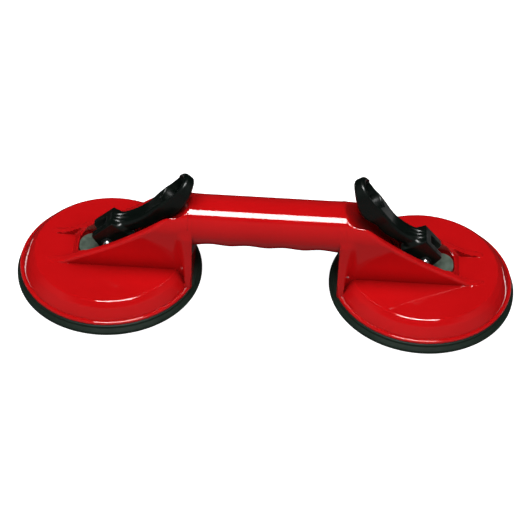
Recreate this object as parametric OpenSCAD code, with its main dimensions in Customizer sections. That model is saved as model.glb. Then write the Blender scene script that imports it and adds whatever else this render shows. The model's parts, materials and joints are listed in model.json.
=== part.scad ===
// Twin-cup vacuum lifter: one red cast body with two dished cups joined by a round hand grip,
// and under each cup a rubber pad that a cam lever pulls up to make the vacuum.
//
// Frame: origin midway between the cups, on the plane the pads seal against. +X runs along the
// grip, +Z points up. Each cup is drawn about its own centre with +X pointing inboard, towards
// the grip, and then placed left or mirrored right. All sizes are in millimetres.

/* [Cups] */
// Distance between the two cup centres
cup_spacing = 201; // [190:1:240]
// Diameter of the rubber pads at the sealing face
pad_d = 119; // [118:0.5:124]
// Height of the pad, from the sealing face to the casting's flange
pad_h = 7; // [6.6:0.1:7.2]
// Diameter of the casting's flange above the pad
flange_d = 115; // [114:0.2:117]

/* [Casting] */
// Height of the flat top of each dish
dish_top = 18.8; // [18.5:0.1:19.2]
// Wall thickness of the dish
wall = 3.8; // [3:0.1:4]
// Outside width of the pod that carries the grip
pod_w = 32.4; // [31:0.2:34]
// Width of the lever channel in the pod
channel_w = 23.4; // [22.6:0.2:24]
// Height of the grip's axis
grip_z = 48.3; // [47:0.1:50]
// Diameter of the round hand grip, a little under the pod's width
grip_d = 32; // [30:0.2:32.2]
// Depth of the finger waves under the grip
wave_depth = 1; // [0.4:0.1:1.6]
// Length of one finger wave
wave_pitch = 23; // [20:0.5:24]

/* [Lever] */
// Angle the left lever is raised from fully folded
left_lift = 0; // [0:1:60]
// Angle the right lever is raised from fully folded
right_lift = 7; // [0:1:60]
// Height of the pin above the bearing plate when the lever is folded
cam_height = 9.3; // [9.2:0.1:9.6]
// How far the pin drops while the lever goes from folded to released
cam_drop = 2.9; // [2:0.1:3]
// Width of the lever's forked foot
foot_w = 16; // [14.4:0.2:16.4]
// Diameter of the lever's pin
pin_d = 5; // [4.6:0.1:5]

/* [Hidden] */
$fn = 96;
eps = 0.1;

casting_red = "#c81418";
rubber_black = "#1d2422";
lever_black = "#16201d";
zinc_grey = "#8e9690";
steel = "#b9bcc0";
blackened = "#202324";

// Heights of the stack inside a cup
floor_z = dish_top + 0.7;               // bottom of the lever channel over the stud
plate_t = 2;                            // bearing plate
plate_top = floor_z + plate_t;
dish_under = dish_top - wall;           // underside of the dish
membrane_t = 2.6;                       // thin centre of the rubber pad
insert_t = 2.5;
insert_gap = 3;                         // room under the insert at the folded height
insert_z = membrane_t + insert_gap;     // underside of the insert, lever folded
nut_h = 4;
washer_t = 1;

// Fits: radial play of a running fit, and the gap left between pieces that only touch
running = 0.06;
touch = 0.05;

// Cam: the pin's height falls evenly with the angle, so the outline is the envelope of a
// straight line whose distance from the pin shrinks by the same amount for every degree
release_angle = 60;
cam_rate = cam_drop / (release_angle * PI / 180);
function cam_radius(angle) = cam_height - touch - cam_drop * angle / release_angle;
function cam_point(angle) =
    let (out = [-sin(angle), -cos(angle)], along = [-cos(angle), sin(angle)])
    cam_radius(angle) * out - cam_rate * along;
function pin_z(lift) = plate_top + cam_height - cam_drop * lift / release_angle;
function drop(lift) = cam_drop * lift / release_angle;

// Lever: measured from the pin, folded, with +X inboard
facet_len = 10;                         // flat the released lever stands on
ridge = [3.2, 16.4];                    // top edge of the foot
heel = [17.4, 8.8];                     // inboard corner of the foot
arm_start = [8, 10.5];
arm_w = 13;
arm_top = 4.2;                          // from the arm's centre line up to its top
arm_under = [2, 6];                     // and down to its underside, at the foot and at the loop
arm_bend_r = 45;
arm_a0 = 15;                            // slope of the arm where it leaves the foot
arm_a1 = 48;                            // slope of its straight end
arm_straight = 27.5;
loop_r = 7.4;                           // rounded end of the lever
loop_start = 13;                        // along the straight end, where the loop begins
belly = 9;                              // how far the loop hangs below the centre line
hole_r = 4.6;                           // finger hole in the loop
hole_from = loop_start + 5.5;
hole_to = arm_straight - 2;
eye_slot_w = 6.2;

// Stud and pad insert
stud_d = 8;
blade_t = 5.5;                          // flattened upper part of the stud
eye_r = 5.5;
stud_hole_d = stud_d + 2 * running;
insert_d = 46;
spring_wire = 1.4;
spring_r = 9.4;                         // mean radius of the coil
spring_turns = 2.5;

// Pod: outer end of its flanks, pocket end and inboard face, from the cup centre
flank_tip = -36;
pocket_end = -19.6;
pod_end = 54.5;
end_plate_t = 4;
pod_wall = 4.2;                         // flanks beside the hollow, below the channel
channel_r = 9;
channel_flat_end = 15;                  // where the channel floor starts to climb
ramp_low = [22, 35.5];                  // foot and head of the ramp behind the lever
ramp_high = [52, 64.2];
ramp_slope = (ramp_high[1] - ramp_low[1]) / (ramp_high[0] - ramp_low[0]);
function ramp_z(x) = ramp_low[1] + (x - ramp_low[0]) * ramp_slope;
sky = 80;                               // above everything, for cuts open at the top

// Top line of the pod's walls, rising from the dish to the grip
wall_line = [[flank_tip, dish_top - 0.3], [-27, 20.5], [-5, 31.3], [36.5, 57.9], [51, 67.7]];

function arc(centre, r, a0, a1, steps) =
    [for (i = [0 : steps]) let (a = a0 + (a1 - a0) * i / steps) centre + r * [sin(a), cos(a)]];

module at_left() {
    translate([-cup_spacing / 2, 0, 0]) children();
}

module at_right() {
    mirror([1, 0, 0]) at_left() children();
}

// Extrudes an outline drawn in the X-Z plane, centred on Y
module side_extrude(width) {
    translate([0, width / 2, 0]) rotate([90, 0, 0]) linear_extrude(width) children();
}

// ---------------------------------------------------------------- casting

// Flat plateau, round shoulder and crowned bevel down to a crease, then a bead on the flange
module dish_outside() {
    plateau_r = 46.2;
    shoulder_round = 5.5;
    bevel_tilt = 54;                    // where the shoulder meets the bevel
    bead_h = 2.2;
    bead_w = 1.5;
    rim_r = flange_d / 2;
    crease = [rim_r - 2.2, pad_h + bead_h];
    middle = [53.1, 13];                // halfway down the bevel
    rotate_extrude($fn = 128) polygon(concat(
        [[0, pad_h], [0, dish_top]],
        arc([plateau_r, dish_top - shoulder_round], shoulder_round, 0, bevel_tilt, 5),
        [middle, crease],
        arc([rim_r - bead_w, crease[1] - bead_w], bead_w, 0, 90, 4),
        [[rim_r, pad_h]]
    ));
}

module dish_cavity() {
    rotate_extrude($fn = 128) polygon([
        [0, pad_h - eps], [51.6, pad_h - eps], [48.4, 11], [44, dish_under], [0, dish_under]
    ]);
}

// Vertical flanks with a round top that runs on into the grip, cut off along the wall line
module pod_outside() {
    intersection() {
        translate([flank_tip, 0, 0]) rotate([90, 0, 90]) linear_extrude(pod_end - flank_tip) {
            translate([0, grip_z]) circle(d = pod_w);
            translate([-pod_w / 2, pad_h]) square([pod_w, grip_z - pad_h]);
        }
        side_extrude(pod_w + 2) polygon(concat(
            [[flank_tip, pad_h]], wall_line, [[pod_end, sky], [pod_end, pad_h]]
        ));
    }
}

// Inboard end wall, wider at the bottom where it meets the rim of the dish
module end_wall() {
    foot_half = 22;
    foot_z = 9.6;
    head_z = 41;
    translate([pod_end - end_plate_t, 0, 0]) rotate([90, 0, 90]) linear_extrude(end_plate_t) polygon([
        [-foot_half, pad_h], [foot_half, pad_h], [foot_half, foot_z],
        [pod_w / 2, head_z], [-pod_w / 2, head_z], [-foot_half, foot_z]
    ]);
}

// Lever channel: a flat pocket over the stud, then a ramp that runs out on top of the grip
module channel() {
    top_x = ramp_low[0] + (sky - ramp_low[1]) / ramp_slope;
    side_extrude(channel_w) polygon([
        [0, floor_z], [channel_flat_end, floor_z], ramp_low, [top_x, sky], [0, sky]
    ]);
    half = channel_w / 2 - channel_r;
    translate([0, 0, floor_z]) linear_extrude(sky - floor_z) {
        for (side = [-1, 1])
            translate([pocket_end + channel_r, side * half]) circle(r = channel_r);
        translate([pocket_end, -half]) square([-pocket_end + eps, 2 * half]);
        translate([pocket_end + channel_r, -channel_w / 2])
            square([-pocket_end - channel_r + eps, channel_w]);
    }
}

// Hollow of the pod, open towards the hollow of the dish
module pod_cavity() {
    roof = 4.8;                         // metal between the ramp and the hollow, upright
    front = channel_flat_end + 5;
    back = pod_end - end_plate_t;
    from = ramp_low[0] + roof;
    to = back - 7;
    side_extrude(pod_w - 2 * pod_wall) polygon([
        [front, pad_h - eps], [front, dish_under], [from, ramp_z(from) - roof],
        [to, ramp_z(to) - roof], [back, ramp_z(to) - roof], [back, pad_h - eps]
    ]);
}

module cup_outside() {
    intersection() {
        dish_outside();
        translate([-flange_d, -flange_d / 2, 0]) cube([flange_d + pod_end, flange_d, sky]);
    }
    pod_outside();
    end_wall();
}

module cup_cuts() {
    intersection() {
        dish_cavity();
        translate([-flange_d, -flange_d / 2, 0]) cube([flange_d + pod_end - end_plate_t, flange_d, sky]);
    }
    pod_cavity();
    channel();
    translate([0, 0, pad_h]) cylinder(d = stud_hole_d, h = sky);
}

module grip() {
    root = 2;                           // how far the grip runs into each pod
    grip_l = cup_spacing - 2 * pod_end;
    waves = floor(grip_l / wave_pitch);
    land = 4;                           // plain stretch between two waves
    half = (wave_pitch - land) / 2;
    wave_r = (half * half + wave_depth * wave_depth) / (2 * wave_depth);
    difference() {
        translate([-grip_l / 2 - root, 0, grip_z]) rotate([0, 90, 0])
            cylinder(d = grip_d, h = grip_l + 2 * root);
        for (i = [0 : waves - 1])
            translate([(i - (waves - 1) / 2) * wave_pitch, 0, grip_z - grip_d / 2 - wave_r + wave_depth])
                rotate([90, 0, 0]) cylinder(r = wave_r, h = grip_d + 2, center = true, $fn = 256);
    }
}

module handle_casting() {
    color(casting_red) difference() {
        union() {
            grip();
            at_left() cup_outside();
            at_right() cup_outside();
        }
        at_left() cup_cuts();
        at_right() cup_cuts();
    }
}

// ---------------------------------------------------------------- pad and stud

// Rubber disc: thick sealing rim with a flared lip, thin membrane under the insert
module suction_pad() {
    rim_inner = 50;
    hub_d = insert_d + 5;
    lip_z = 2;
    shoulder_r = flange_d / 2 + 0.4;
    color(rubber_black) rotate_extrude($fn = 128) polygon([
        [0, 0], [pad_d / 2 - 0.6, 0], [pad_d / 2, 0.6], [pad_d / 2, lip_z], [shoulder_r, 4.2],
        [shoulder_r, pad_h - 1], [shoulder_r - 0.8, pad_h - touch], [rim_inner + 2.4, pad_h - touch],
        [rim_inner, 5.6], [rim_inner - 2, 4.4], [hub_d / 2, membrane_t], [0, membrane_t]
    ]);
}

// Steel disc moulded into the middle of the pad, with the thread that takes the stud
module pad_insert(lift) {
    color(steel) translate([0, 0, insert_z - drop(lift)]) difference() {
        cylinder(d = insert_d, h = insert_t);
        translate([0, 0, -eps]) cylinder(d = stud_d, h = insert_t + 2 * eps);
    }
}

// Eye stud: threaded round shank, milled flat above the casting, with an eye for the pin
module pull_stud(lift) {
    shank_top = plate_top - 0.2;
    rise = pin_z(0);
    color(steel) translate([0, 0, -drop(lift)]) difference() {
        union() {
            translate([0, 0, insert_z]) cylinder(d = stud_d, h = shank_top - insert_z);
            intersection() {
                translate([0, 0, shank_top - 1]) cylinder(d = stud_d, h = rise - shank_top + 1);
                translate([-stud_d, -blade_t / 2, 0]) cube([2 * stud_d, blade_t, rise]);
            }
            translate([0, 0, rise]) rotate([90, 0, 0]) cylinder(r = eye_r, h = blade_t, center = true);
        }
        translate([0, 0, rise]) rotate([90, 0, 0]) cylinder(d = pin_d, h = 2 * blade_t, center = true);
    }
}

module lock_nut(lift) {
    across_flats = 13;
    color(steel) translate([0, 0, insert_z + insert_t + touch - drop(lift)]) difference() {
        cylinder(d = across_flats / cos(30), h = nut_h, $fn = 6);
        translate([0, 0, -eps]) cylinder(d = stud_d, h = nut_h + 2 * eps);
    }
}

module spring_washer() {
    color(zinc_grey) translate([0, 0, dish_under - washer_t]) difference() {
        cylinder(d = 24, h = washer_t);
        translate([0, 0, -eps]) cylinder(d = stud_d + 1, h = washer_t + 2 * eps);
    }
}

// Closed tube swept along a helix; its ends lie flat against the insert and the washer
module return_spring(lift) {
    sides = 10;
    per_turn = 28;
    z0 = insert_z + insert_t - drop(lift) + touch + spring_wire / 2;
    z1 = dish_under - washer_t - touch - spring_wire / 2;
    steps = spring_turns * per_turn;
    ring = [for (i = [0 : steps], j = [0 : sides - 1])
        let (a = 360 * i / per_turn, b = 360 * j / sides,
             r = spring_r + spring_wire / 2 * cos(b))
        [r * cos(a), r * sin(a), z0 + (z1 - z0) * i / steps + spring_wire / 2 * sin(b)]];
    skin = [for (i = [0 : steps - 1], j = [0 : sides - 1])
        let (k = (j + 1) % sides)
        [i * sides + j, i * sides + k, (i + 1) * sides + k, (i + 1) * sides + j]];
    ends = [
        [for (j = [sides - 1 : -1 : 0]) j],
        [for (j = [0 : sides - 1]) steps * sides + j]
    ];
    color(steel) polyhedron(ring, concat(skin, ends), convexity = 6);
}

// Hardened plate the cam slides on, round at its outboard end
module bearing_plate() {
    half = 9.8;
    corner = 8.5;
    outer = -18.8;
    inner = 13;
    color(zinc_grey) translate([0, 0, floor_z]) linear_extrude(plate_t) difference() {
        union() {
            for (side = [-1, 1]) translate([outer + corner, side * (half - corner)]) circle(r = corner);
            translate([outer, corner - half]) square([inner - outer, 2 * (half - corner)]);
            translate([outer + corner, -half]) square([inner - outer - corner, 2 * half]);
        }
        circle(d = stud_d + 0.8);
    }
}

// ---------------------------------------------------------------- lever

// Foot seen from the side: cam below, landing flat, outboard slope, ridge and heel
function foot_outline() =
    let (last = cam_point(release_angle),
         land = last + facet_len * [-cos(release_angle), sin(release_angle)])
    concat(
        [for (a = [0 : 4 : release_angle]) cam_point(a)],
        [land, land + [-0.5, 1.6], ridge - [1, 0.8], ridge, heel, [13.5, -5], [9, -cam_radius(0)]]
    );

function arm_centre(angle) =
    arm_start + arm_bend_r * [sin(angle) - sin(arm_a0), cos(arm_a0) - cos(angle)];

module arm_side() {
    steps = 6;
    function at(i) = arm_a0 + (arm_a1 - arm_a0) * i / steps;
    function off(i, by) = arm_centre(at(i)) + by * [-sin(at(i)), cos(at(i))];
    function under(i) = -arm_under[0] - (arm_under[1] - arm_under[0]) * i / steps;
    along = loop_start * [cos(arm_a1), sin(arm_a1)];
    polygon(concat(
        [for (i = [0 : steps]) off(i, arm_top)],
        [off(steps, arm_top) + along, off(steps, under(steps)) + along],
        [for (i = [steps : -1 : 0]) off(i, under(i))]
    ));
}

// Places children at the start of the arm's straight end, with +X along it
module at_arm_end() {
    base = arm_centre(arm_a1);
    translate([base[0], 0, base[1]]) rotate([0, -arm_a1, 0]) children();
}

module stadium(x0, x1, r) {
    for (x = [x0, x1]) translate([x, 0]) circle(r = r);
    translate([x0, -r]) square([x1 - x0, 2 * r]);
}

// Rounded loop at the end of the lever, deepest where it meets the arm and thinner at the tip
module lever_loop() {
    tip = arm_straight + loop_r;
    at_arm_end() intersection() {
        translate([0, 0, -2 * belly]) linear_extrude(3 * belly) stadium(loop_start, arm_straight, loop_r);
        side_extrude(2 * loop_r + 2) polygon([
            [loop_start - loop_r, arm_top], [tip, arm_top], [tip, -2],
            [arm_straight + 2, -5.4], [loop_start + 9, -belly + 1],
            [loop_start + 2, -belly], [loop_start - 3, -belly + 1.6], [loop_start - loop_r, -arm_under[1]]
        ]);
    }
}

// Slot between the two cheeks of the foot, open below and outboard, for the stud's eye
module fork_slot() {
    side_extrude(eye_slot_w) polygon([[-15, -15], [6.2, -15], [6.2, 6.2], [1.5, 12], [-15, 12]]);
}

module cam_lever(lift) {
    color(lever_black) translate([0, 0, pin_z(lift)]) rotate([0, -lift, 0]) difference() {
        union() {
            side_extrude(foot_w) polygon(foot_outline());
            side_extrude(arm_w) arm_side();
            lever_loop();
        }
        fork_slot();
        at_arm_end() translate([0, 0, -2 * belly]) linear_extrude(3 * belly) stadium(hole_from, hole_to, hole_r);
        rotate([90, 0, 0]) cylinder(d = pin_d + 2 * running, h = 2 * foot_w, center = true);
    }
}

// Pin as long as the channel lets it be, so it can't slide out
module lever_pin(lift) {
    pin_l = channel_w - 1.4;
    color(steel) translate([0, 0, pin_z(lift)]) rotate([90, 0, 0])
        cylinder(d = pin_d, h = pin_l, center = true);
}

// Push-on retaining rings outside the two cheeks
module pin_clips(lift) {
    clip_d = 7.6;
    clip_t = 0.8;
    color(blackened) for (side = [-1, 1])
        translate([0, side * (foot_w / 2 + 2 * touch + clip_t / 2), pin_z(lift)]) rotate([90, 0, 0])
            difference() {
                cylinder(d = clip_d, h = clip_t, center = true);
                cylinder(d = pin_d, h = 2 * clip_t, center = true);
            }
}

handle_casting();

at_left() suction_pad();  // left_suction_pad
at_left() pad_insert(left_lift);  // left_pad_insert
at_left() pull_stud(left_lift);  // left_pull_stud
at_left() lock_nut(left_lift);  // left_lock_nut
at_left() return_spring(left_lift);  // left_return_spring
at_left() spring_washer();  // left_spring_washer
at_left() bearing_plate();  // left_bearing_plate
at_left() cam_lever(left_lift);  // left_cam_lever
at_left() lever_pin(left_lift);  // left_lever_pin
at_left() pin_clips(left_lift);  // left_pin_clips

at_right() suction_pad();  // right_suction_pad
at_right() pad_insert(right_lift);  // right_pad_insert
at_right() pull_stud(right_lift);  // right_pull_stud
at_right() lock_nut(right_lift);  // right_lock_nut
at_right() return_spring(right_lift);  // right_return_spring
at_right() spring_washer();  // right_spring_washer
at_right() bearing_plate();  // right_bearing_plate
at_right() cam_lever(right_lift);  // right_cam_lever
at_right() lever_pin(right_lift);  // right_lever_pin
at_right() pin_clips(right_lift);  // right_pin_clips
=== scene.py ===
"""Looks of a twin-cup vacuum lifter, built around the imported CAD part.

The casting and the two levers are smooth bodies with filleted corners. Each is written as a signed
distance field in millimetres, negative inside, and meshed by surface_net(). The rubber pads and the
levers' pins are turned profiles, and the springs are swept wire. The other small steel pieces are
the CAD nodes themselves, with bevels. Frame: metres, origin midway between the cups on the sealing plane, +X
along the grip, +Z up.
"""

import json
import math

import bpy
import numpy as np
from mathutils import Matrix, Vector


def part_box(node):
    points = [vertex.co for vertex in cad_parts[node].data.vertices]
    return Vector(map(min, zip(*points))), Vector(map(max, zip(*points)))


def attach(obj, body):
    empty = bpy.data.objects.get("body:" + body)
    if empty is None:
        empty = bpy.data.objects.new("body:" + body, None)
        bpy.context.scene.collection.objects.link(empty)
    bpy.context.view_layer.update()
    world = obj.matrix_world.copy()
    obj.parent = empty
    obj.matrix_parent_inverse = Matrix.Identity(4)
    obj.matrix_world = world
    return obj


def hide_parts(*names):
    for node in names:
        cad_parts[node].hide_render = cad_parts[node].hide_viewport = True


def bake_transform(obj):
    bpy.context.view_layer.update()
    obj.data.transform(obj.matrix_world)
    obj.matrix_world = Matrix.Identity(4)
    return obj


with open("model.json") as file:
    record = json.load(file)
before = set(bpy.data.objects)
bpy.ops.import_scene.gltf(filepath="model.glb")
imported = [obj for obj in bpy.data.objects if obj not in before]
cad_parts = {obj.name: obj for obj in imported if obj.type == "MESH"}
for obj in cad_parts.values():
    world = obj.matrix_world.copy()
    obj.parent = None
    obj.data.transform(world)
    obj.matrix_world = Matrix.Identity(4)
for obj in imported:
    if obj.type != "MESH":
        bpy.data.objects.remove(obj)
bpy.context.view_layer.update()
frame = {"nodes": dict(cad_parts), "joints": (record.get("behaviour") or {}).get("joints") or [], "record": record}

MM = 0.001
SIDES = {"left": -1, "right": 1}
JOINTS = {joint["name"]: joint for joint in frame["joints"]}
ROOT = "lifter_frame"


def low_mm(node):
    return np.array(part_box(node)[0]) / MM


def high_mm(node):
    return np.array(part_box(node)[1]) / MM


# ------------------------------------------------------------------ sizes read from the frame

PAD_R = (high_mm("left_suction_pad")[0] - low_mm("left_suction_pad")[0]) / 2
CUP_X = high_mm("right_suction_pad")[0] - PAD_R
FLANGE_R = high_mm("handle_casting")[0] - CUP_X
PAD_TOP = low_mm("handle_casting")[2]
PLATE_TOP = high_mm("left_bearing_plate")[2]
FLOOR = low_mm("left_bearing_plate")[2]
DISH_UNDER = high_mm("left_spring_washer")[2]
DISH_TOP = DISH_UNDER + 3.8
GRIP_TOP = high_mm("handle_casting")[2]
GRIP_R = 16.1
GRIP_Z = GRIP_TOP - 16.2
PIN_Z = JOINTS["left_lever_swing"]["pos_m"][2] / MM
RELEASE = JOINTS["left_lever_swing"]["range_deg"][1]
DROP = -JOINTS["left_stud_slide"]["range_m"][0] / MM


# ------------------------------------------------------------------ distance fields

def polygon(x, z, corners, rounding=0.0):
    """Distance to a closed outline whose corners run counter-clockwise, with its corners rounded."""
    corners = inset(corners, rounding) if rounding else corners
    inside = np.zeros(np.shape(x), bool)
    nearest = np.full(np.shape(x), np.inf)
    for (x0, z0), (x1, z1) in zip(corners, corners[1:] + corners[:1]):
        along_x, along_z = x1 - x0, z1 - z0
        from_x, from_z = x - x0, z - z0
        share = (from_x * along_x + from_z * along_z) / (along_x ** 2 + along_z ** 2)
        share = np.clip(share, 0, 1)
        gap = (from_x - along_x * share) ** 2 + (from_z - along_z * share) ** 2
        nearest = np.minimum(nearest, gap)
        if along_z:
            crossing = (z0 <= z) != (z1 <= z)
            inside ^= crossing & (from_x < along_x * from_z / along_z)
    return np.where(inside, -1, 1) * np.sqrt(nearest) - rounding


def inset(corners, by):
    """The outline moved inwards, so that growing it again by the same amount rounds its corners."""
    points = np.array(corners, float)
    edges = np.roll(points, -1, 0) - points
    edges /= np.hypot(edges[:, 0], edges[:, 1])[:, None]
    inward = np.stack([-edges[:, 1], edges[:, 0]], 1)
    before = np.roll(inward, 1, 0)
    mitre = (inward + before) / (1 + (inward * before).sum(1))[:, None]
    return [tuple(p) for p in points + by * mitre]


def extrude(flat, across, half, rounding=0.0):
    """A flat field given thickness, from -half to half, with rounded edges."""
    flat = flat + rounding
    side = np.abs(across) - half + rounding
    outside = np.hypot(np.maximum(flat, 0), np.maximum(side, 0))
    return np.minimum(np.maximum(flat, side), 0) + outside - rounding


def join(a, b, fillet):
    """Both bodies together, with a fillet where they meet."""
    corner = np.hypot(np.maximum(fillet - a, 0), np.maximum(fillet - b, 0))
    return np.maximum(fillet, np.minimum(a, b)) - corner


def meet(a, b, rounding):
    """What both bodies share, with rounded edges."""
    corner = np.hypot(np.maximum(rounding + a, 0), np.maximum(rounding + b, 0))
    return np.minimum(-rounding, np.maximum(a, b)) + corner


def cut(a, b, rounding):
    """Body a without body b, with rounded edges."""
    return meet(a, -b, rounding)


def ease(start, end, value):
    """0 before start, 1 after end, and smooth between them."""
    share = np.clip((value - start) / (end - start), 0, 1)
    return share * share * (3 - 2 * share)


def capsule(x, y, z, start, end, radius):
    """A rod with round ends."""
    start, end = np.array(start, float), np.array(end, float)
    along = end - start
    from_x, from_y, from_z = x - start[0], y - start[1], z - start[2]
    share = (from_x * along[0] + from_y * along[1] + from_z * along[2]) / (along @ along)
    share = np.clip(share, 0, 1)
    gap = [from_x - along[0] * share, from_y - along[1] * share, from_z - along[2] * share]
    return np.sqrt(gap[0] ** 2 + gap[1] ** 2 + gap[2] ** 2) - radius


# ------------------------------------------------------------------ from field to mesh

CORNERS = [(i, j, k) for i in (0, 1) for j in (0, 1) for k in (0, 1)]
BLOCK = 4


def sample(field, low, counts, cell):
    """Field values on a grid, worked out only in the blocks that the surface may pass through."""
    blocks = [-(-n // BLOCK) for n in counts]
    middles = [l + cell * (BLOCK * np.arange(n) + (BLOCK - 1) / 2) for l, n in zip(low, blocks)]
    x, y, z = np.meshgrid(*middles, indexing="ij")
    coarse = field(x, y, z)
    reach = cell * BLOCK * math.sqrt(3) / 2 * 1.25
    grow = np.ones((BLOCK,) * 3, np.float32)
    values = np.kron(coarse.astype(np.float32), grow)
    near = np.kron(np.abs(coarse) < reach, grow.astype(bool))
    cube = tuple(slice(0, n) for n in counts)
    values, near = values[cube], near[cube]
    index = np.nonzero(near)
    points = [l + cell * i for l, i in zip(low, index)]
    values[index] = field(*points)
    return values


def gradient(field, points, step=0.04):
    """Central differences of the field at each point."""
    slopes = []
    for axis in range(3):
        shift = np.zeros(3)
        shift[axis] = step
        ahead = field(*(points + shift).T)
        behind = field(*(points - shift).T)
        slopes.append((ahead - behind) / (2 * step))
    return np.stack(slopes, 1)


def unit(vectors):
    return vectors / np.maximum(np.linalg.norm(vectors, axis=-1, keepdims=True), 1e-6)


def corner_normals(field, points, quads):
    """Normals for each corner of each quad: the point's own, or the quad's where a crease is near."""
    smooth = 0.88
    at_points = unit(gradient(field, points))[quads]
    at_middles = unit(gradient(field, points[quads].mean(1)))[:, None, :]
    agree = (at_points * at_middles).sum(2, keepdims=True) > smooth
    return np.where(agree, at_points, at_middles)


def surface_net(field, low, high, cell):
    """Points, quads and corner normals of the field's zero surface, one point in each cell it crosses."""
    counts = [int(math.ceil((h - l) / cell)) + 1 for l, h in zip(low, high)]
    values = sample(field, low, counts, cell)
    inside = values < 0
    views = [
        inside[tuple(slice(c, n - 1 + c) for c, n in zip(corner, counts))] for corner in CORNERS
    ]
    filled = sum(v.astype(np.uint8) for v in views)
    cells = np.argwhere((filled > 0) & (filled < 8))
    number = np.full(filled.shape, -1, np.int64)
    number[tuple(cells.T)] = np.arange(len(cells))
    at_corner = np.stack([values[tuple((cells + c).T)] for c in CORNERS], 1)
    total, hits = np.zeros((len(cells), 3)), np.zeros(len(cells))
    for a, first in enumerate(CORNERS):
        for b, second in enumerate(CORNERS):
            if b <= a or sum(abs(p - q) for p, q in zip(first, second)) != 1:
                continue
            va, vb = at_corner[:, a], at_corner[:, b]
            crossed = (va < 0) != (vb < 0)
            share = np.where(crossed, va / np.where(crossed, va - vb, 1), 0)
            place = np.array(first) + share[:, None] * (np.array(second) - np.array(first))
            total += place * crossed[:, None]
            hits += crossed
    points = np.array(low) + cell * (cells + total / hits[:, None])
    quads = []
    for axis in range(3):
        other = [(axis + 1) % 3, (axis + 2) % 3]
        edge_low = [slice(None)] * 3
        edge_high = [slice(None)] * 3
        edge_low[axis] = slice(0, -1)
        edge_high[axis] = slice(1, None)
        start, end = inside[tuple(edge_low)], inside[tuple(edge_high)]
        crossed = np.argwhere(start != end)
        inner = (crossed[:, other] > 0).all(1)
        inner &= (crossed[:, other] < np.array(filled.shape)[other]).all(1)
        crossed = crossed[inner]
        ring = []
        for step in ((-1, -1), (0, -1), (0, 0), (-1, 0)):
            at = crossed.copy()
            at[:, other[0]] += step[0]
            at[:, other[1]] += step[1]
            ring.append(number[tuple(at.T)])
        ring = np.stack(ring, 1)
        outward = start[tuple(crossed.T)]
        ring[~outward] = ring[~outward][:, ::-1]
        quads.append(ring)
    quads = np.concatenate(quads)
    for _ in range(4):
        slope = gradient(field, points)
        length = np.maximum((slope ** 2).sum(1), 0.05)
        step = slope * (field(*points.T) / length)[:, None]
        points -= np.clip(step, -cell / 2, cell / 2)
    return points, quads, corner_normals(field, points, quads)


def smooth_piece(name, points, quads, normals, material):
    """A mesh object in metres from a surface in millimetres, shaded with the surface's own normals."""
    mesh = bpy.data.meshes.new(name)
    mesh.from_pydata((points * MM).tolist(), [], quads.tolist())
    mesh.polygons.foreach_set("use_smooth", np.ones(len(quads), bool))
    mesh.normals_split_custom_set(normals.reshape(-1, 3).tolist())
    mesh.update()
    piece = bpy.data.objects.new(name, mesh)
    bpy.context.scene.collection.objects.link(piece)
    mesh.materials.append(material)
    return piece


# ------------------------------------------------------------------ casting

POD_HALF = 16.2
CHANNEL_HALF = 11.7
POD_END = 54.5
END_WALL_T = 4.0
POCKET_END = -19.6
WEDGE_FOOT = -22.5
STUD_HOLE_R = 4.06
BEAD = 2.2
WALL_HEIGHT = 33.75
WALL_SLOPE = 0.49
WALL_CURVE = 0.00366
TIP_END = -38.0
WAVE_DEPTH = 1.0
WAVE_PITCH = 23.0
RAMP = [(15, FLOOR), (22, 35.5), (52, 64.2), (82, 92.9)]


def arc_up(foot, radius, steep, flat, steps):
    """Points of a convex arc that climbs inwards from its foot, its slope falling from steep to flat."""
    tilts = [math.radians(steep + (flat - steep) * i / steps) for i in range(steps + 1)]
    middle = (foot[0] - radius * math.sin(tilts[0]), foot[1] - radius * math.cos(tilts[0]))
    return [(middle[0] + radius * math.sin(t), middle[1] + radius * math.cos(t)) for t in tilts]


def dish_body(r, z):
    """Flat plateau with a round shoulder, a bevel that steepens down to a crease, and a bead."""
    deep = -20
    past_axis = -40
    crease = (FLANGE_R - BEAD, PAD_TOP + BEAD)
    steepest, flattest = 68, 41
    bevel = arc_up(crease, 9.0, steepest, 60, 3)
    bevel += arc_up(bevel[-1], 40.0, 60, 52, 4)[1:]
    bevel += arc_up(bevel[-1], 10.0, 52, flattest, 4)[1:]
    below = (crease[0] + 20 / math.tan(math.radians(steepest)), crease[1] - 20)
    last_run = (DISH_TOP - bevel[-1][1]) / math.tan(math.radians(flattest))
    shoulder = (bevel[-1][0] - last_run, DISH_TOP)
    outline = [(past_axis, deep), (below[0], deep), below] + bevel + [shoulder, (past_axis, DISH_TOP)]
    plateau = polygon(r, z, outline, 1.6)
    rim_outline = [(past_axis, deep), (FLANGE_R, deep), (FLANGE_R, crease[1]), (past_axis, crease[1])]
    rim = polygon(r, z, rim_outline, 1.4)
    return np.minimum(plateau, rim)


def wall_top(u, z):
    """The line the pod's walls are cut along: a low tip on the dish, then straight, then steeper."""
    bend = np.maximum(u + 5, 0)
    past_tip = u - TIP_END
    tip = DISH_TOP + np.minimum(0.15 * past_tip, 1.2 * past_tip)
    height = np.maximum(WALL_HEIGHT + WALL_SLOPE * u + WALL_CURVE * bend ** 2, tip)
    slope = WALL_SLOPE + 2 * WALL_CURVE * bend
    return (z - height) / np.hypot(1, slope)


def pod_body(u, y, z):
    """Upright flanks with a round top, cut off along the wall line, lower between the walls' tips."""
    around = np.hypot(y, np.maximum(z - GRIP_Z, 0)) - POD_HALF
    pod = meet(around, wall_top(u, z), 2.0)
    wedge = (z - DISH_TOP - (u - WEDGE_FOOT)) / math.sqrt(2)
    between = meet(np.abs(y) - 11.0, -wedge, 1.5)
    return cut(pod, between, 0.4)


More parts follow.
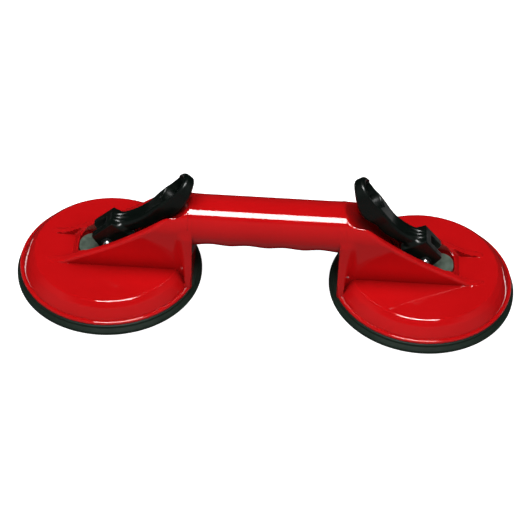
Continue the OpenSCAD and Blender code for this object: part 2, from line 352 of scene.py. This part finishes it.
def end_wall(u, y, z):
    """Plate across the inboard end, wider towards its foot."""
    outline = [(-23, 2), (23, 2), (22, 9.6), (14.6, 44), (-14.6, 44), (-22, 9.6)]
    inside = POD_END - END_WALL_T
    thick = POD_END + 6 - inside
    return extrude(polygon(y, z, outline), u - inside - thick / 2, thick / 2)


def channel(u, y, z):
    """Round-ended pocket over the stud, with a ramp that runs out on top of the grip."""
    end_r = 9.0
    length = 120
    from_mid = np.abs(u - POCKET_END - length / 2) - length / 2 + end_r
    from_axis = np.abs(y) - CHANNEL_HALF + end_r
    outside = np.hypot(np.maximum(from_mid, 0), np.maximum(from_axis, 0))
    plan = outside + np.minimum(np.maximum(from_mid, from_axis), 0) - end_r
    side = polygon(u, z, [(-60, FLOOR)] + RAMP + [(-60, 92.9)], 2.0)
    return meet(plan, side, 2.0)


def hollow(u, y, z, r):
    """Open space under the dish and inside the pod."""
    inside = POD_END - END_WALL_T
    dish = polygon(r, z, [
        (-40, -20), (56, -20), (51.6, PAD_TOP), (48.4, 11), (44, DISH_UNDER), (-40, DISH_UNDER)
    ], 1)
    roof = 4.8
    side = polygon(u, z, [
        (20, -20), (inside, -20), (inside, 50.8), (43, 55.6 - roof), (26.8, 40.1 - roof), (20, DISH_UNDER)
    ], 1)
    pod = extrude(side, y, POD_HALF - 4.2, 1)
    under_dish = np.maximum(dish, u - inside)
    return np.minimum(under_dish, pod)


def casting(x, y, z):
    """The whole casting; u runs from a cup's axis towards the middle of the grip."""
    u = CUP_X - np.abs(x)
    r = np.hypot(u, y)
    pod = join(pod_body(u, y, z), np.maximum(end_wall(u, y, z), r - FLANGE_R), 8.0)
    body = join(dish_body(r, z), pod, 0.25)
    end_face = u - POD_END
    body = meet(body, end_face, 0.9)
    waves = WAVE_DEPTH * np.sin(np.pi * x / WAVE_PITCH) ** 2
    waves = waves * ease(0, GRIP_R, GRIP_Z - z) * (np.abs(x) < CUP_X - POD_END)
    grip_r = GRIP_R + 0.1 * ease(CUP_X - POD_END - 8, CUP_X - POD_END, np.abs(x))
    grip = np.hypot(y, z - GRIP_Z) - grip_r + waves
    grip = np.maximum(grip, np.abs(x) - (CUP_X - POD_END + 3))
    body = join(body, grip, 0.6)
    body = cut(body, channel(u, y, z), 0.9)
    body = cut(body, hollow(u, y, z, r), 0.5)
    body = cut(body, r - STUD_HOLE_R, 0.2)
    return meet(body, PAD_TOP - z, 0.4)


# ------------------------------------------------------------------ lever

FOOT_HALF = 8.0
ARM_START = (8.0, 10.5)
ARM_BEND_R = 45.0
ARM_A0, ARM_A1 = math.radians(15), math.radians(48)
LOOP_R = 8.3
LOOP_CENTRE = 26.6
HOLE_R = 4.9
HOLE_FROM, HOLE_TO = 18.5, 24.8
PIN_BORE_R = 2.56


def cam_point(angle):
    """Cam outline: envelope of the plate's line as the pin drops evenly with the lever's angle."""
    reach = PIN_Z - PLATE_TOP - 0.05 - DROP * angle / RELEASE
    rate = DROP / math.radians(RELEASE)
    a = math.radians(angle)
    return (-reach * math.sin(a) + rate * math.cos(a), -reach * math.cos(a) - rate * math.sin(a))


def foot_outline():
    """Foot from the side: cam below, landing flat, outboard slope, ridge and heel."""
    landing, steps = 10.0, 12
    cam = [cam_point(RELEASE * i / steps) for i in range(steps + 1)]
    a = math.radians(RELEASE)
    end = (cam[-1][0] - landing * math.cos(a), cam[-1][1] + landing * math.sin(a))
    rest = [end, (end[0] - 0.5, end[1] + 1.6), (2.2, 15.6), (3.2, 16.4), (17.4, 8.8), (13.5, -5), (9, -9.2)]
    return (cam + rest)[::-1]


def arm_places(x, z):
    """Distance along the arm from the start of its straight end, and height above its middle line."""
    centre_x = ARM_START[0] - ARM_BEND_R * math.sin(ARM_A0)
    centre_z = ARM_START[1] + ARM_BEND_R * math.cos(ARM_A0)
    from_x, from_z = x - centre_x, z - centre_z
    along = from_x * math.cos(ARM_A1) + from_z * math.sin(ARM_A1)
    above = -from_x * math.sin(ARM_A1) + from_z * math.cos(ARM_A1) + ARM_BEND_R
    angle = np.arctan2(from_x, -from_z)
    bent = angle < ARM_A1
    s = np.where(bent, ARM_BEND_R * (angle - ARM_A1), along)
    t = np.where(bent, ARM_BEND_R - np.hypot(from_x, from_z), above)
    return s, t


def arm_body(s, t, y):
    """Arm that thickens into a rounded loop."""
    top = 4.2
    under = 2.0 + 4.0 * ease(-26, 0, s) + 3.0 * ease(2, 13, s) - 7.0 * ease(14, 40, s)
    half = 6.5 + 0.9 * ease(0, 10, s)
    round_end = np.hypot(np.maximum(s - LOOP_CENTRE, 0), y) - LOOP_R
    plan = np.where(s > LOOP_CENTRE, round_end, np.abs(y) - half)
    upright = np.abs(t - (top - under) / 2) - (top + under) / 2
    rounding = 2.0
    return meet(plan, upright, rounding)


def lever(x, y, z):
    """Whole lever about its pin, folded, with +X inboard."""
    foot = extrude(polygon(x, z, foot_outline(), 0.5), y, FOOT_HALF, 0.7)
    slope_x, slope_z = 0.472, 0.882
    above = (x - 3.2) * slope_x + (z - 16.4) * slope_z
    along = (x - 3.2) * slope_z - (z - 16.4) * slope_x
    shoulder = (above + np.abs(y) - FOOT_HALF + 0.2 * np.maximum(along, 0)) / math.sqrt(2)
    foot = meet(foot, shoulder, 0.4)
    slot = polygon(x, z, [(-25, -25), (6.2, -25), (6.2, 6.2), (1.5, 12), (-25, 12)])
    foot = cut(foot, extrude(slot, y, 3.1), 0.7)
    s, t = arm_places(x, z)
    arm = np.maximum(arm_body(s, t, y), -s - 27)
    body = join(foot, arm, 2.2)
    for side in (-1, 0, 1):
        rib = capsule(x, y, z, (3.4, 2.4 * side, 15.0), (18.0, 4.4 * side, 16.2), 0.6)
        body = join(body, rib, 1.4)
    flare = 1.6 * ease(-4, 4.2, t)
    hole = np.hypot(s - np.clip(s, HOLE_FROM, HOLE_TO), y) - HOLE_R - flare
    hole = np.where(s > 5, hole, 9.0)
    body = cut(body, hole, 1.0)
    dimple = np.sqrt((s - 10.6) ** 2 + y ** 2 + (t - 4.7) ** 2) - 1.5
    body = cut(body, dimple, 0.3)
    bore = np.hypot(x, z) - PIN_BORE_R
    return cut(body, bore, 0.2)


# ------------------------------------------------------------------ materials

def linear(red, green, blue):
    """A display colour from 0 to 255 as the linear values a shader takes."""
    values = []
    for c in (red, green, blue):
        values.append(c / 255 / 12.92 if c <= 10 else ((c / 255 + 0.055) / 1.055) ** 2.4)
    return tuple(values) + (1.0,)


class Paint:
    """A Principled material with its node tree, and short ways to add detail to it."""

    def __init__(self, name):
        self.material = bpy.data.materials.new(name)
        self.material.use_nodes = True
        self.nodes = self.material.node_tree.nodes
        self.links = self.material.node_tree.links
        self.shader = self.nodes["Principled BSDF"]
        self.place = self.add("ShaderNodeTexCoord").outputs["Object"]
        self.normal = None

    def add(self, kind, **values):
        node = self.nodes.new(kind)
        for key, value in values.items():
            setattr(node, key, value)
        return node

    def set(self, **values):
        for key, value in values.items():
            self.shader.inputs[key.replace("_", " ")].default_value = value

    def noise(self, size_mm, detail=3.0, stretch=(1, 1, 1), roughness=0.5):
        """Soft noise from 0 to 1 whose patches are about size_mm across."""
        mapping = self.add("ShaderNodeMapping")
        mapping.inputs["Scale"].default_value = stretch
        self.links.new(self.place, mapping.inputs["Vector"])
        noise = self.add("ShaderNodeTexNoise")
        noise.inputs["Scale"].default_value = 1 / (size_mm * MM)
        noise.inputs["Detail"].default_value = detail
        noise.inputs["Roughness"].default_value = roughness
        self.links.new(mapping.outputs["Vector"], noise.inputs["Vector"])
        return noise.outputs["Fac"]

    def range(self, value, low, high, start=0.3, end=0.7):
        """The value spread over low to high."""
        spread = self.add("ShaderNodeMapRange")
        spread.inputs["From Min"].default_value = start
        spread.inputs["From Max"].default_value = end
        spread.inputs["To Min"].default_value = low
        spread.inputs["To Max"].default_value = high
        self.links.new(value, spread.inputs["Value"])
        return spread.outputs["Result"]

    def blend(self, share, first, second):
        """A colour between two colours or colour outputs."""
        mix = self.add("ShaderNodeMix", data_type="RGBA")
        self.links.new(share, mix.inputs["Factor"])
        for socket, value in ((mix.inputs[6], first), (mix.inputs[7], second)):
            if isinstance(value, bpy.types.NodeSocket):
                self.links.new(value, socket)
            else:
                socket.default_value = value
        return mix.outputs[2]

    def drive(self, value, socket):
        self.links.new(value, self.shader.inputs[socket])

    def bump(self, height, depth_mm, strength=1.0):
        """Relief of the given depth, stacked on any relief added before."""
        bump = self.add("ShaderNodeBump")
        bump.inputs["Distance"].default_value = depth_mm * MM
        bump.inputs["Strength"].default_value = strength
        self.links.new(height, bump.inputs["Height"])
        if self.normal:
            self.links.new(self.normal, bump.inputs["Normal"])
        self.normal = bump.outputs["Normal"]
        self.links.new(self.normal, self.shader.inputs["Normal"])


def red_enamel():
    """Thick glossy enamel over a cast surface: faint orange peel under a clear skin, slight clouding, and painted
    shade that darkens the red in creases and corners.
    """
    paint = Paint("casting_red")
    clouds = paint.range(paint.noise(35, 4), 0, 1)
    open_red = paint.blend(clouds, linear(216, 18, 21), linear(223, 20, 24))
    # painted shade: ambient occlusion blends the red toward a deep red in creases, corners and under the grip
    crease_shade_ao = paint.add("ShaderNodeAmbientOcclusion", samples=8)
    crease_shade_ao.inputs["Distance"].default_value = 14 * MM
    unshaded_share = paint.range(crease_shade_ao.outputs["AO"], 0, 1, 0.35, 0.95)
    paint.drive(paint.blend(unshaded_share, linear(120, 8, 8), open_red), "Base Color")
    paint.drive(paint.range(paint.noise(6, 4), 0.42, 0.52), "Roughness")
    paint.set(Coat_Weight=1.0, Coat_Roughness=0.03, Specular_IOR_Level=0.0)
    paint.bump(paint.noise(3.2, 1), 0.008, 0.5)
    return paint.material


def pad_rubber():
    """Moulded black rubber with a faint bloom and a fine matt grain."""
    paint = Paint("pad_rubber")
    bloom = paint.range(paint.noise(14, 5), 0, 1)
    paint.drive(paint.blend(bloom, linear(21, 39, 29), linear(29, 46, 36)), "Base Color")
    paint.drive(paint.range(paint.noise(5, 4), 0.48, 0.62), "Roughness")
    paint.set(Specular_IOR_Level=0.25)
    paint.bump(paint.noise(0.35, 2), 0.02, 0.5)
    return paint.material


def lever_black():
    """Glossy moulded plastic, slightly green, with faint flow marks."""
    paint = Paint("lever_black")
    flow = paint.range(paint.noise(6, 3, (1, 3, 1)), 0, 1)
    paint.drive(paint.blend(flow, linear(4, 12, 9), linear(9, 20, 15)), "Base Color")
    paint.drive(paint.range(paint.noise(3, 4), 0.27, 0.36), "Roughness")
    paint.set(Specular_IOR_Level=0.35)
    paint.bump(paint.noise(0.8, 2), 0.012, 0.5)
    return paint.material


def zinc_plate():
    """Dull zinc plating over rolled steel, with fine lines and a cloudy surface."""
    paint = Paint("zinc_plate")
    clouds = paint.range(paint.noise(4, 5), 0, 1)
    paint.drive(paint.blend(clouds, linear(86, 102, 90), linear(112, 128, 115)), "Base Color")
    paint.drive(paint.range(paint.noise(2, 4), 0.45, 0.62), "Roughness")
    paint.set(Metallic=0.55)
    paint.bump(paint.noise(0.5, 2, (1, 12, 1)), 0.012, 0.5)
    return paint.material


def machined_steel(name, tone, rough):
    """Turned or drawn steel with fine rings along its length."""
    paint = Paint(name)
    clouds = paint.range(paint.noise(3, 4), 0, 1)
    darker = tuple(c * 0.8 for c in tone[:3]) + (1.0,)
    paint.drive(paint.blend(clouds, darker, tone), "Base Color")
    paint.drive(paint.range(paint.noise(1.2, 3), rough, rough + 0.12), "Roughness")
    paint.set(Metallic=1.0)
    paint.bump(paint.noise(0.25, 2, (1, 6, 1)), 0.006, 0.5)
    return paint.material


def blackened_steel():
    """Phosphated spring steel."""
    paint = Paint("blackened_steel")
    clouds = paint.range(paint.noise(1.5, 4), 0, 1)
    paint.drive(paint.blend(clouds, linear(20, 24, 24), linear(40, 44, 43)), "Base Color")
    paint.drive(paint.range(paint.noise(0.8, 3), 0.42, 0.58), "Roughness")
    paint.set(Metallic=0.6)
    paint.bump(paint.noise(0.3, 2), 0.008, 0.5)
    return paint.material


MATERIALS = {
    "casting_red": red_enamel(),
    "pad_rubber": pad_rubber(),
    "lever_black": lever_black(),
    "zinc_plate": zinc_plate(),
    "plain_steel": machined_steel("plain_steel", linear(214, 216, 218), 0.2),
    "spring_steel": machined_steel("spring_steel", linear(160, 163, 168), 0.3),
    "blackened_steel": blackened_steel(),
}


# ------------------------------------------------------------------ pieces

def build_casting():
    """The red casting in one piece."""
    cell = 0.9
    margin = 2 * cell
    low = low_mm("handle_casting") - margin
    high = high_mm("handle_casting") + margin
    surface = surface_net(casting, low, high, cell)
    piece = smooth_piece("casting", *surface, MATERIALS["casting_red"])
    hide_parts("handle_casting")
    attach(piece, ROOT)


def build_levers():
    """Both levers from one surface, turned to the angle each has at rest and mirrored for the right."""
    cell = 0.42
    points, quads, normals = surface_net(lever, (-14, -9, -12), (60, 9, 54), cell)
    for side, sign in SIDES.items():
        swing = JOINTS[f"{side}_lever_swing"]
        folded = min(swing["range_deg"])
        turn = math.radians(-folded)
        spin = np.array([
            [math.cos(turn), 0, -math.sin(turn)], [0, 1, 0], [math.sin(turn), 0, math.cos(turn)]
        ])
        flip = np.array([-sign, 1, 1])
        place = np.array(swing["pos_m"]) / MM
        placed = (points @ spin.T) * flip + place
        turned_normals = (normals @ spin.T) * flip
        order = slice(None, None, -1) if sign > 0 else slice(None)
        piece = smooth_piece(
            f"{side}_lever", placed, quads[:, order], turned_normals[:, order], MATERIALS["lever_black"]
        )
        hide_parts(f"{side}_cam_lever")
        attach(piece, f"{side}_lever")


def build_pins():
    """Pins with domed ends, turned about the lever's axis."""
    dome = 2.7
    for side, sign in SIDES.items():
        low, high = low_mm(f"{side}_lever_pin"), high_mm(f"{side}_lever_pin")
        radius, half = (high[2] - low[2]) / 2, high[1]
        edge = math.asin(radius / dome)
        cap = [(dome * math.sin(edge * i / 6), half - dome + dome * math.cos(edge * i / 6)) for i in range(7)]
        profile = [(r, -z) for r, z in cap] + cap[::-1]
        piece = turned(f"{side}_pin", profile, 0, MATERIALS["plain_steel"], 48)
        lay = Matrix.Rotation(math.radians(90), 4, "X")
        middle = Vector((sign * CUP_X, 0, (high[2] + low[2]) / 2)) * MM
        piece.data.transform(Matrix.Translation(middle) @ lay)
        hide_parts(f"{side}_lever_pin")
        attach(piece, f"{side}_stud")


def round_corner(corner, before, after, radius, steps=4):
    """Points of an arc that rounds a profile's corner."""
    corner, before, after = (np.array(p, float) for p in (corner, before, after))
    back, ahead = before - corner, after - corner
    back, ahead = back / np.linalg.norm(back), ahead / np.linalg.norm(ahead)
    half = math.acos(np.clip(back @ ahead, -1, 1)) / 2
    reach = radius / math.tan(half)
    centre = corner + (back + ahead) / np.linalg.norm(back + ahead) * radius / math.sin(half)
    first, last = corner + back * reach, corner + ahead * reach
    arc = []
    for i in range(steps + 1):
        chord = first + (last - first) * i / steps - centre
        arc.append(tuple(centre + chord / np.linalg.norm(chord) * radius))
    return arc


def rounded_profile(corners):
    """A profile from (r, z, rounding) corners; the first and last are kept as they are."""
    profile = [corners[0][:2]]
    for before, corner, after in zip(corners, corners[1:], corners[2:]):
        if corner[2]:
            profile += round_corner(corner[:2], before[:2], after[:2], corner[2])
        else:
            profile.append(corner[:2])
    return profile + [corners[-1][:2]]


def turned(name, profile, centre_x, material, steps=192):
    """A closed body turned about an upright axis from a profile that starts and ends on the axis."""
    verts, faces = [], []
    rings = profile[1:-1]
    for r, z in rings:
        for i in range(steps):
            a = 2 * math.pi * i / steps
            verts.append((centre_x + r * math.cos(a), r * math.sin(a), z))
    for k in range(len(rings) - 1):
        for i in range(steps):
            j = (i + 1) % steps
            faces.append((k * steps + i, k * steps + j, (k + 1) * steps + j, (k + 1) * steps + i))
    last = (len(rings) - 1) * steps
    verts += [(centre_x, 0, profile[0][1]), (centre_x, 0, profile[-1][1])]
    for i in range(steps):
        j = (i + 1) % steps
        faces.append((len(verts) - 2, j, i))
        faces.append((len(verts) - 1, last + i, last + j))
    mesh = bpy.data.meshes.new(name)
    mesh.from_pydata([tuple(c * MM for c in v) for v in verts], [], faces)
    mesh.polygons.foreach_set("use_smooth", np.ones(len(faces), bool))
    mesh.materials.append(material)
    mesh.update()
    piece = bpy.data.objects.new(name, mesh)
    bpy.context.scene.collection.objects.link(piece)
    return piece


def pad_profile():
    """Underside from the centre out to the lip, up the edge, and back over the rim to the centre."""
    membrane = low_mm("left_pad_insert")[2] - DROP - 0.1
    return rounded_profile([
        (0, 0, 0), (6, 0, 0), (12, 0, 0), (18, 0, 0), (23, 0, 0), (27, 0, 0), (31, 0, 0), (35, 0, 0),
        (38.4, 0, 0),
        (39, 0.5, 0.2), (40, 0.5, 0.2), (40.6, 0, 0),
        (43, 0, 0), (45.4, 0, 0), (46, 0.6, 0.2), (47, 0.6, 0.2), (47.6, 0, 0),
        (50, 0, 0), (52.4, 0, 0), (53, 0.6, 0.2), (54, 0.6, 0.2),
        (54.6, 0, 0), (57, 0, 0), (PAD_R - 0.5, 0, 0.2), (PAD_R, 0.5, 0.3), (PAD_R, 2.4, 0.6),
        (FLANGE_R + 0.7, 4.1, 0.5), (FLANGE_R + 0.3, 4.6, 0.3), (FLANGE_R + 0.3, PAD_TOP - 0.8, 0.4),
        (FLANGE_R - 0.6, PAD_TOP - 0.05, 0.3), (52.4, PAD_TOP - 0.05, 0.4),
        (50, 5.6, 0.4), (48, 4.4, 0.4), (25.5, membrane, 1.5), (20, membrane, 0),
        (12, membrane, 0), (6, membrane, 0), (0, membrane, 0),
    ])


def build_pads():
    """Pads with a fixed rim whose centre is lifted once to the height of the pad insert."""
    for side, sign in SIDES.items():
        raised = low_mm(f"{side}_pad_insert")[2] - low_mm("left_pad_insert")[2] + DROP + 0.1
        piece = turned(f"{side}_pad", pad_profile(), sign * CUP_X, MATERIALS["pad_rubber"])
        coords = np.array([v.co for v in piece.data.vertices])
        r = np.hypot(coords[:, 0] - sign * CUP_X * MM, coords[:, 1]) / MM
        follow = 1 - ease(24, 51, r)
        coords[:, 2] += raised * MM * follow
        piece.data.vertices.foreach_set("co", coords.astype(np.float32).ravel())
        piece.data.update()
        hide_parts(f"{side}_suction_pad")
        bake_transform(piece)


def build_springs():
    """Wire swept along a helix between the lower and upper ends of the spring node."""
    wire, sides, turns, per_turn = 0.7, 12, 2.5, 40
    for side, sign in SIDES.items():
        low, high = low_mm(f"{side}_return_spring"), high_mm(f"{side}_return_spring")
        coil = (high[1] - low[1]) / 2 - wire
        steps = int(turns * per_turn)
        verts, faces = [], []
        for i in range(steps + 1):
            a = 2 * math.pi * i / per_turn
            z = low[2] + wire + (high[2] - low[2] - 2 * wire) * i / steps
            for j in range(sides):
                b = 2 * math.pi * j / sides
                r = coil + wire * math.cos(b)
                verts.append((sign * CUP_X - sign * r * math.cos(a), r * math.sin(a), z + wire * math.sin(b)))
        for i in range(steps):
            for j in range(sides):
                k = (j + 1) % sides
                faces.append((i * sides + j, i * sides + k, (i + 1) * sides + k, (i + 1) * sides + j))
        faces.append(tuple(range(sides))[::-1])
        faces.append(tuple(steps * sides + j for j in range(sides)))
        mesh = bpy.data.meshes.new(f"{side}_spring")
        mesh.from_pydata([tuple(c * MM for c in v) for v in verts], [], faces)
        mesh.polygons.foreach_set("use_smooth", np.ones(len(faces), bool))
        mesh.materials.append(MATERIALS["spring_steel"])
        mesh.update()
        piece = bpy.data.objects.new(f"{side}_spring", mesh)
        bpy.context.scene.collection.objects.link(piece)
        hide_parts(f"{side}_return_spring")
        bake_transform(piece)


def dress_cad_nodes():
    """The small metal pieces are the CAD nodes, with broken edges and their own materials."""
    slots = {part["node"]: part["material_slot"] for part in frame["record"]["subparts"]}
    for name, node in frame["nodes"].items():
        node.data.materials.clear()
        node.data.materials.append(MATERIALS[slots[name]])
        if node.hide_render:
            continue
        bevel = node.modifiers.new("broken_edge", "BEVEL")
        bevel.width = 0.2 * MM
        bevel.segments = 2
        bevel.limit_method = "ANGLE"
        bevel.angle_limit = math.radians(40)
        bevel.harden_normals = False


# ------------------------------------------------------------------ stage, light and camera

def build_floor():
    """Plain pale floor that runs past the picture on every side and is clear from below."""
    paint = Paint("floor_white")
    shade = paint.range(paint.noise(400, 2), 0, 1)
    paint.drive(paint.blend(shade, linear(250, 250, 250), linear(252, 252, 252)), "Base Color")
    paint.set(Roughness=0.9, Specular_IOR_Level=0.1, Emission_Color=(1, 1, 1, 1), Emission_Strength=0.92)
    nodes, links = paint.material.node_tree.nodes, paint.material.node_tree.links
    side = nodes.new("ShaderNodeNewGeometry")
    clear = nodes.new("ShaderNodeBsdfTransparent")
    one_sided = nodes.new("ShaderNodeMixShader")
    output = next(node for node in nodes if node.type == "OUTPUT_MATERIAL")
    above = output.inputs["Surface"].links[0].from_socket
    links.new(side.outputs["Backfacing"], one_sided.inputs["Fac"])
    links.new(above, one_sided.inputs[1])
    links.new(clear.outputs[0], one_sided.inputs[2])
    links.new(one_sided.outputs[0], output.inputs["Surface"])
    size = 6.0
    mesh = bpy.data.meshes.new("floor")
    corners = [(-size, -size, 0), (size, -size, 0), (size, size, 0), (-size, size, 0)]
    mesh.from_pydata(corners, [], [(0, 1, 2, 3)])
    mesh.materials.append(paint.material)
    floor = bpy.data.objects.new("floor", mesh)
    bpy.context.scene.collection.objects.link(floor)
    floor.location.z = -0.0004
    floor.visible_glossy = False
    floor.visible_diffuse = False


def add_light(name, direction, distance, size, power, seen_by, target=(0, 0, 0.03)):
    """A rectangular soft box seen from the target along (azimuth from the front, elevation).
    seen_by is "diffuse" for a light that only shades, "glossy" for one that only reflects."""
    azimuth, elevation = (math.radians(a) for a in direction)
    out = Vector((
        math.sin(azimuth) * math.cos(elevation), -math.cos(azimuth) * math.cos(elevation), math.sin(elevation)
    ))
    lamp = bpy.data.lights.new(name, "AREA")
    lamp.shape = "RECTANGLE"
    lamp.size, lamp.size_y = size
    lamp.energy = power
    light = bpy.data.objects.new(name, lamp)
    bpy.context.scene.collection.objects.link(light)
    light.location = Vector(target) + out * distance
    light.rotation_euler = out.to_track_quat("Z", "Y").to_euler()
    light.visible_diffuse = seen_by != "glossy"
    light.visible_glossy = seen_by != "diffuse"


def build_world():
    """Even pale light for shading; reflections see a dark room that is paler low down in front."""
    world = bpy.data.worlds.new("studio")
    world.use_nodes = True
    nodes, links = world.node_tree.nodes, world.node_tree.links
    backdrop = nodes["Background"]
    backdrop.inputs["Color"].default_value = (1, 1, 1, 1)
    backdrop.inputs["Strength"].default_value = 0.14
    room = nodes.new("ShaderNodeBackground")
    room.inputs["Color"].default_value = (1, 1, 1, 1)
    direction = nodes.new("ShaderNodeTexCoord")
    split = nodes.new("ShaderNodeSeparateXYZ")
    links.new(direction.outputs["Generated"], split.inputs["Vector"])
    pale = nodes.new("ShaderNodeMapRange")
    pale.inputs["From Min"].default_value = 0.72
    pale.inputs["From Max"].default_value = 0.62
    pale.inputs["To Min"].default_value = 0.0
    pale.inputs["To Max"].default_value = 0.18
    links.new(split.outputs["Z"], pale.inputs["Value"])
    front = nodes.new("ShaderNodeMapRange")
    front.inputs["From Min"].default_value = 0.2
    front.inputs["From Max"].default_value = -0.3
    front.inputs["To Min"].default_value = 0.1
    front.inputs["To Max"].default_value = 1.0
    links.new(split.outputs["Y"], front.inputs["Value"])
    strength = nodes.new("ShaderNodeMath")
    strength.operation = "MULTIPLY"
    links.new(pale.outputs["Result"], strength.inputs[0])
    links.new(front.outputs["Result"], strength.inputs[1])
    links.new(strength.outputs[0], room.inputs["Strength"])
    ray = nodes.new("ShaderNodeLightPath")
    either = nodes.new("ShaderNodeMixShader")
    links.new(ray.outputs["Is Glossy Ray"], either.inputs["Fac"])
    links.new(backdrop.outputs[0], either.inputs[1])
    links.new(room.outputs[0], either.inputs[2])
    links.new(either.outputs[0], nodes["World Output"].inputs["Surface"])
    bpy.context.scene.world = world


def build_camera():
    """Camera at the product's viewing angle: a little from above, almost square on, slightly rolled."""
    azimuth, elevation, roll = (math.radians(a) for a in (1.498, 44.356, 2.232))
    distance = 1.0906
    target = Vector((-0.00046, 0, 0.0113))
    back = Vector((
        math.sin(azimuth) * math.cos(elevation), -math.cos(azimuth) * math.cos(elevation), math.sin(elevation)
    ))
    data = bpy.data.cameras.new("camera")
    data.sensor_width = 36
    data.lens = 115.38
    data.clip_start, data.clip_end = 0.01, 50
    camera = bpy.data.objects.new("camera", data)
    bpy.context.scene.collection.objects.link(camera)
    right = (-back).cross(Vector((0, 0, 1))).normalized()
    up = right.cross(-back)
    axis_x = right * math.cos(roll) + up * math.sin(roll)
    axis_y = up * math.cos(roll) - right * math.sin(roll)
    turn = Matrix((axis_x, axis_y, back)).transposed().to_4x4()
    camera.matrix_world = Matrix.Translation(target + back * distance) @ turn
    bpy.context.scene.camera = camera


build_casting()
build_levers()
build_pads()
build_springs()
build_pins()
dress_cad_nodes()
build_floor()
build_world()
add_light("key_shade", (-10, 74), 1.4, (1.4, 1.2), 17, "diffuse")
add_light("key_strip", (0, 71.6), 1.5, (0.9, 0.6), 42, "glossy", (0.09, 0, 0.03))
add_light("front_fill", (0, 4), 1.5, (1.6, 0.6), 3.5, "diffuse")
add_light("left_card", (-118, -16), 1.5, (1.1, 0.08), 1.0, "glossy")
add_light("right_card", (118, -16), 1.5, (1.1, 0.08), 1.0, "glossy")
build_camera()
bpy.context.scene.view_settings.view_transform = "Standard"
